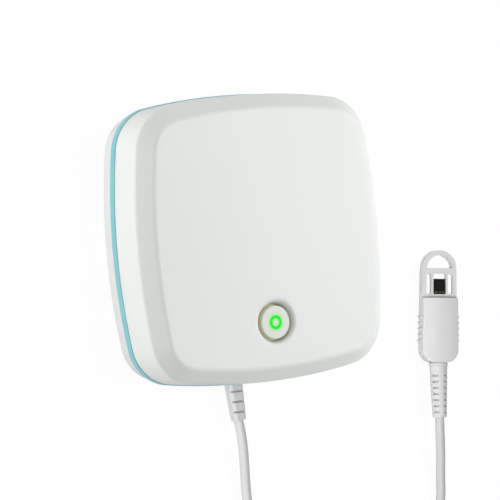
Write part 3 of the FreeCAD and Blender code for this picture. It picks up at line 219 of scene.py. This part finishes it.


# White ABS, moulded in a spark-eroded tool: an even, soft white with a broad dull highlight. Its real grain
# of 0.1 mm is drawn at 0.5 mm, the finest that shows. Its edges are soft by 0.4 mm, and those of the button's
# hollow, which fingers rub, by 2.8 mm. The hollow's inner millimetre and a half is painted darker, as painted shade.
white_abs, tree, shader, colour, place = finish("white_abs_moulded", "#EEF0ED", "#ECEFEC", 30, 0.5, 6,
                                                Roughness=0.48, IOR=1.53)
# Painted shade: the hollow darkens towards the button, fully from 6 mm off its axis, none from 7.6 mm.
paint(tree, shader, colour, fade(tree, off_axis(tree, place), HOLLOW_SHADE_FULL, HOLLOW_SHADE_NONE), "#8A8B83")
edge = node(tree, "MapRange", {1: HOLLOW_IN * MM, 2: HOLLOW_OUT * MM, 3: HOLLOW_EDGE * MM, 4: COVER_EDGE * MM},
            {0: off_axis(tree, place)})
blunt = node(tree, "Bevel", {"samples": 8}, {"Radius": edge.outputs[0]})
grain = shader.inputs["Normal"].links[0].from_node
tree.links.new(blunt.outputs[0], grain.inputs["Normal"])

# The same ABS from another tool and batch: a touch greyer, with a coarser grain.
grey_white_abs = finish("grey_white_abs_moulded", "#EBEDEC", "#E8EBEA", 24, 0.6, 9, Roughness=0.52, IOR=1.53)[0]

# Tinted polycarbonate, moulded: a pale teal, smoother than the shells.
teal_pc = finish("teal_polycarbonate", "#86C9D1", "#7FC3CC", 20, 0.5, 3, Roughness=0.35, IOR=1.58)[0]

# Black silicone seal: dull and deep.
seal_rubber = finish("black_silicone_seal", "#1D1E1F", "#242526", 6, 0.4, 10, Roughness=0.75, IOR=1.41)[0]

# Milky polycarbonate over lamps: a little glossy and tinged with green. Light from the ring soaks into it for
# nearly 2 mm on each side, and its skirt in the hollow is painted a yellow-grey shade with a faint painted glow.
cap_pc, tree, shader, colour, place = finish("milky_polycarbonate", "#E8ECE4", "#E5E9E1", 8, 0.4, 2,
                                             Roughness=0.32, IOR=1.58, Specular_IOR_Level=0.2, Emission_Strength=0.3)
# The skirt in the hollow: painted shade in its colour, and a faint painted glow in its emission below.
skirt = fade(tree, height(tree, place), CAP_TOP - 0.5, CAP_TOP - 0.3)
colour = paint(tree, shader, colour, skirt, "#C4BFA4")
colour = paint(tree, shader, colour, fade(tree, off_ring(tree, place), 0.7, 1.8), "#BDF2B6")
soaked = fade(tree, off_ring(tree, place), 0.3, 1.1)
paint(tree, shader, colour, soaked, "#14E020")
lit = node(tree, "Mix", {"data_type": "RGBA", 6: (0, 0, 0, 1), 7: linear("#CACAAC")}, {"Factor": skirt})
lit = node(tree, "Mix", {"data_type": "RGBA", 7: linear("#45F04B")}, {"Factor": soaked, 6: lit.outputs[2]})
tree.links.new(lit.outputs[2], shader.inputs["Emission Color"])

# The light guide: clear acrylic that glows green.
ring_light, tree, shader = finish("lit_green_acrylic", "#0B3D10", "#0D4513", 3, 0.4, 1, Roughness=0.25, IOR=1.49,
                                  Specular_IOR_Level=0.1, Emission_Strength=1.15)[:3]
shader.inputs["Emission Color"].default_value = linear("#06D60A")

# Black acetal and black glass-filled nylon: the plunger is silky, the switch and the clamp are dull.
black_acetal = finish("black_acetal", "#191A1B", "#202122", 4, 0.3, 3, Roughness=0.38, IOR=1.48)[0]
black_nylon = finish("black_glass_filled_nylon", "#232425", "#2B2C2D", 3, 0.3, 12, Roughness=0.58, IOR=1.53)[0]

# Epoxy lamp bodies: yellowish and glossy.
lamp_epoxy = finish("lamp_epoxy", "#E6EAC8", "#DDE3BB", 1, 0.2, 1, Roughness=0.2, IOR=1.55)[0]

# Chip packages: charcoal epoxy with a fine blasted top.
chip_epoxy = finish("moulded_chip_epoxy", "#262728", "#303132", 2, 0.2, 8, Roughness=0.6, IOR=1.55)[0]


def circuit_board(name, mask, track, pitch, **shader):
    """Solder mask over copper: straight tracks show as a lighter tone under the lacquer."""
    made, tree, body, colour, place = finish(name, mask, mask, 10, 0.4, 4, **shader)
    cells = node(tree, "TexBrick", {"offset": 0.37, "squash": 0.6, "Scale": 1 / (8 * pitch * MM),
                                    "Mortar Size": 0.025, "Brick Width": 0.9, "Row Height": 0.22,
                                    "Color1": (0, 0, 0, 1), "Color2": (0, 0, 0, 1), "Mortar": (1, 1, 1, 1)},
                 {"Vector": place})
    paint(tree, body, colour, cells.outputs["Color"], track)
    return made


# Lacquered glass-epoxy boards: glossy green, blue-green and black masks with the tracks showing through.
board_green = circuit_board("green_solder_mask", "#123F2A", "#1E5A3B", 0.5, Roughness=0.3, IOR=1.5)
module_green = circuit_board("blue_green_solder_mask", "#0E3436", "#17494A", 0.4, Roughness=0.3, IOR=1.5)
probe_board = circuit_board("black_solder_mask", "#0C0F0D", "#1A201B", 0.3, Roughness=0.4, IOR=1.5,
                            Specular_IOR_Level=0.25)

# Zinc-plated screws, a tinned can and nickel-plated springs: bluish grey, bright grey and a warm bright grey.
zinc_steel = finish("zinc_plated_steel", "#B4B6B8", "#A5A8AB", 2, 0.3, 3, Metallic=1.0, Roughness=0.34)[0]
tinned_steel = finish("tinned_steel", "#C9C9C4", "#BDBDB8", 3, 0.3, 4, Metallic=1.0, Roughness=0.3)[0]
nickel_spring = finish("nickel_plated_spring_steel", "#C2BEB4", "#B4B0A6", 2, 0.3, 2, Metallic=1.0, Roughness=0.24)[0]

# The cells' sleeve: a dark and glossy shrink film.
cell_sleeve = finish("cell_shrink_sleeve", "#2C3036", "#343940", 8, 0.5, 2, Roughness=0.28, IOR=1.52)[0]

# White thermoplastic rubber: duller than the housing and a little grey, with painted shade in its narrow grooves.
relief_tpe, tree, shader, colour = finish("white_tpe_relief", "#D8D8D8", "#D4D4D4", 6, 0.4, 8,
                                          Roughness=0.58, IOR=1.5)[:4]
painted_crevice_shade(tree, shader, colour, "#B0B0AF")
slotted_tpe, tree, shader, colour = finish("white_tpe_slotted_relief", "#E6E6E6", "#E2E2E2", 6, 0.4, 8,
                                           Roughness=0.58, IOR=1.5)[:4]
# Painted shade in the probe's slots, lighter than in the housing relief's grooves.
painted_crevice_shade(tree, shader, colour, "#C6C6C5")
cord_tpe = finish("white_tpe_jacket", "#D8D8D8", "#D4D4D4", 9, 0.4, 5, Roughness=0.5, IOR=1.5)[0]

# The probe's ABS, a neutral white with painted shade in its corners.
probe_abs, tree, shader, colour = finish("probe_white_abs", "#E8E8E8", "#E5E5E5", 7, 0.4, 5,
                                         Roughness=0.5, IOR=1.53)[:4]
painted_crevice_shade(tree, shader, colour, "#B4B4B3")

# Nylon: the lead's plug in its natural cream, and the strap in a coarser white.
plug_nylon = finish("natural_nylon", "#E8E6DC", "#E2E0D6", 3, 0.3, 4, Roughness=0.45, IOR=1.53)[0]
tie_nylon = finish("white_nylon_strap", "#DDDEDC", "#D6D7D5", 2, 0.4, 20, Roughness=0.55, IOR=1.53)[0]

# A nearly black sensor package, dull gold pads on the small parts below it, and wires in red silicone.
sensor_epoxy = finish("black_sensor_epoxy", "#0E0F10", "#151617", 1, 0.2, 3, Roughness=0.45, IOR=1.55,
                      Specular_IOR_Level=0.25)[0]
gold_pads = finish("gold_plated_pads", "#9A9068", "#8A8058", 1, 0.2, 2, Metallic=1.0, Roughness=0.3)[0]
wire_silicone = finish("red_silicone_insulation", "#8E2A22", "#98322A", 2, 0.3, 3, Roughness=0.5, IOR=1.42)[0]

COATS = {
    white_abs: ["front_shell"],
    grey_white_abs: ["rear_shell", "battery_door"],
    teal_pc: ["accent_band"],
    seal_rubber: ["seal_gasket"],
    cap_pc: ["button_cap"],
    ring_light: ["light_guide"],
    black_acetal: ["switch_plunger"],
    black_nylon: ["tact_switch", "cord_clamp"],
    lamp_epoxy: ["status_lamps"],
    chip_epoxy: ["board_chips"],
    board_green: ["main_board"],
    module_green: ["radio_module"],
    probe_board: ["sensor_board"],
    zinc_steel: ["case_screws", "board_screws", "clamp_screws"],
    tinned_steel: ["radio_can"],
    nickel_spring: ["battery_contacts"],
    cell_sleeve: ["battery_cells"],
    relief_tpe: ["housing_relief"],
    slotted_tpe: ["probe_relief", "probe_collar"],
    probe_abs: ["probe_front_cover", "probe_back_shell"],
    plug_nylon: ["lead_plug"],
    tie_nylon: ["cord_tie"],
    sensor_epoxy: ["humidity_sensor"],
    gold_pads: ["sensor_parts"],
    wire_silicone: ["probe_wires"],
    cord_tpe: ["lead_tail"],
}
for material, names in COATS.items():
    for name in names:
        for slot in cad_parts[name].material_slots:
            slot.material = material
cord.data.materials.append(cord_tpe)


# Room: a white table that keeps a faint shadow, and soft lamps


def floor():
    """A wide table top. Seen directly or in gloss it is white with a faint shadow; it lights as matt white."""
    low = -TABLE_DROP * MM
    mesh = bpy.data.meshes.new("table_top")
    mesh.from_pydata([(-3, -3, low), (3, -3, low), (3, 3, low), (-3, 3, low)], [], [(0, 1, 2, 3)])
    made = bpy.data.objects.new("table_top", mesh)
    bpy.context.collection.objects.link(made)
    paper = bpy.data.materials.new("white_paper_sweep")
    paper.use_nodes = True
    tree = paper.node_tree
    tree.nodes.clear()
    ray = node(tree, "LightPath")
    seen = node(tree, "Math", {"operation": "MAXIMUM"},
                {0: ray.outputs["Is Camera Ray"], 1: ray.outputs["Is Glossy Ray"]})
    seen = node(tree, "Math", {"operation": "MAXIMUM"}, {0: seen.outputs[0], 1: ray.outputs["Is Transmission Ray"]})
    matt = node(tree, "BsdfDiffuse", {"Color": linear("#E8E8E8")})
    faint = node(tree, "BsdfDiffuse", {"Color": linear("#4B4B4B")})
    bright = node(tree, "Emission", {"Color": (1, 1, 1, 1), "Strength": 0.945})
    shown = node(tree, "AddShader", None, {0: bright.outputs[0], 1: faint.outputs[0]})
    mixed = node(tree, "MixShader", None, {0: seen.outputs[0], 1: matt.outputs[0], 2: shown.outputs[0]})
    node(tree, "OutputMaterial", None, {"Surface": mixed.outputs[0]})
    mesh.materials.append(paper)


def group(name, pieces, state):
    """A group of pieces for a lamp, which lights them alone (INCLUDE) or all but them (EXCLUDE)."""
    made = bpy.data.collections.new(name)
    for piece in pieces:
        made.objects.link(piece)
    for entry in made.collection_objects:
        entry.light_linking.link_state = state
    return made


def lamp(name, at, aim, width, height, watts, lights=None):
    """A soft lamp at a place, aimed at another, in metres, for everything or one group. It isn't seen itself."""
    data = bpy.data.lights.new(name, "AREA")
    data.shape, data.size, data.size_y, data.energy = "RECTANGLE", width, height, watts
    made = bpy.data.objects.new(name, data)
    made.location = at
    made.rotation_euler = (Vector(aim) - Vector(at)).to_track_quat("-Z", "Y").to_euler()
    made.visible_camera = False
    made.light_linking.receiver_collection = lights
    bpy.context.collection.objects.link(made)


def room(level):
    """The world: white where it is seen, a soft even light elsewhere."""
    world = bpy.data.worlds.new("room")
    bpy.context.scene.world = world
    world.use_nodes = True
    tree = world.node_tree
    tree.nodes.clear()
    ray = node(tree, "LightPath")
    soft = node(tree, "Background", {"Color": (1, 1, 1, 1), "Strength": level})
    white = node(tree, "Background", {"Color": (1, 1, 1, 1), "Strength": 1.0})
    mixed = node(tree, "MixShader", None, {0: ray.outputs["Is Camera Ray"], 1: soft.outputs[0], 2: white.outputs[0]})
    node(tree, "OutputWorld", None, {"Surface": mixed.outputs[0]})


floor()
room(0.25)

# In the photograph the lead, its reliefs and the probe are lit from the left, and the housing from the right.
LEAD_AND_PROBE = ["housing_relief", "cord_tie", "probe_relief", "probe_collar", "probe_front_cover",
                  "probe_back_shell", "sensor_board", "humidity_sensor", "sensor_parts"]
pieces = [cord] + [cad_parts[name] for name in LEAD_AND_PROBE]
lead_and_probe = group("lead_and_probe", pieces, "INCLUDE")
the_rest = group("all_but_lead_and_probe", pieces, "EXCLUDE")
lamp("side_right", (1.0, 0.0, 0.8), (0.02, 0, 0.01), 0.8, 0.8, 4.25, the_rest)
lamp("high_right", (0.6, 0.1, 1.35), (0.02, 0, 0.01), 0.9, 0.9, 5.6, the_rest)
lamp("low_corner", (0.75, -0.75, 0.8), (0.02, 0, 0.01), 0.8, 0.8, 1.3, the_rest)
lamp("near_right", (0.55, 0.15, 0.5), (0.02, 0, 0.01), 0.4, 0.4, 1.3, the_rest)
lamp("side_left", (-1.0, 0.0, 0.8), (0.02, 0, 0.01), 0.8, 0.8, 1.9)
lamp("strip_left", (-0.14, 0.02, 0.005), (-0.05, 0.02, 0.02), 0.3, 0.01, 0.085)
lamp("strip_corner", (-0.13, 0.13, 0.005), (-0.04, 0.04, 0.02), 0.12, 0.01, 0.018)
lamp("high_left", (-0.65, -0.3, 1.05), (0.04, -0.05, 0.01), 0.6, 0.6, 9.3, lead_and_probe)
lamp("strip_probe", (0.055, -0.06, 0.012), (0.085, -0.06, 0.005), 0.1, 0.012, 0.001, lead_and_probe)
bpy.context.scene.view_settings.view_transform = "Standard"

bpy.context.view_layer.update()
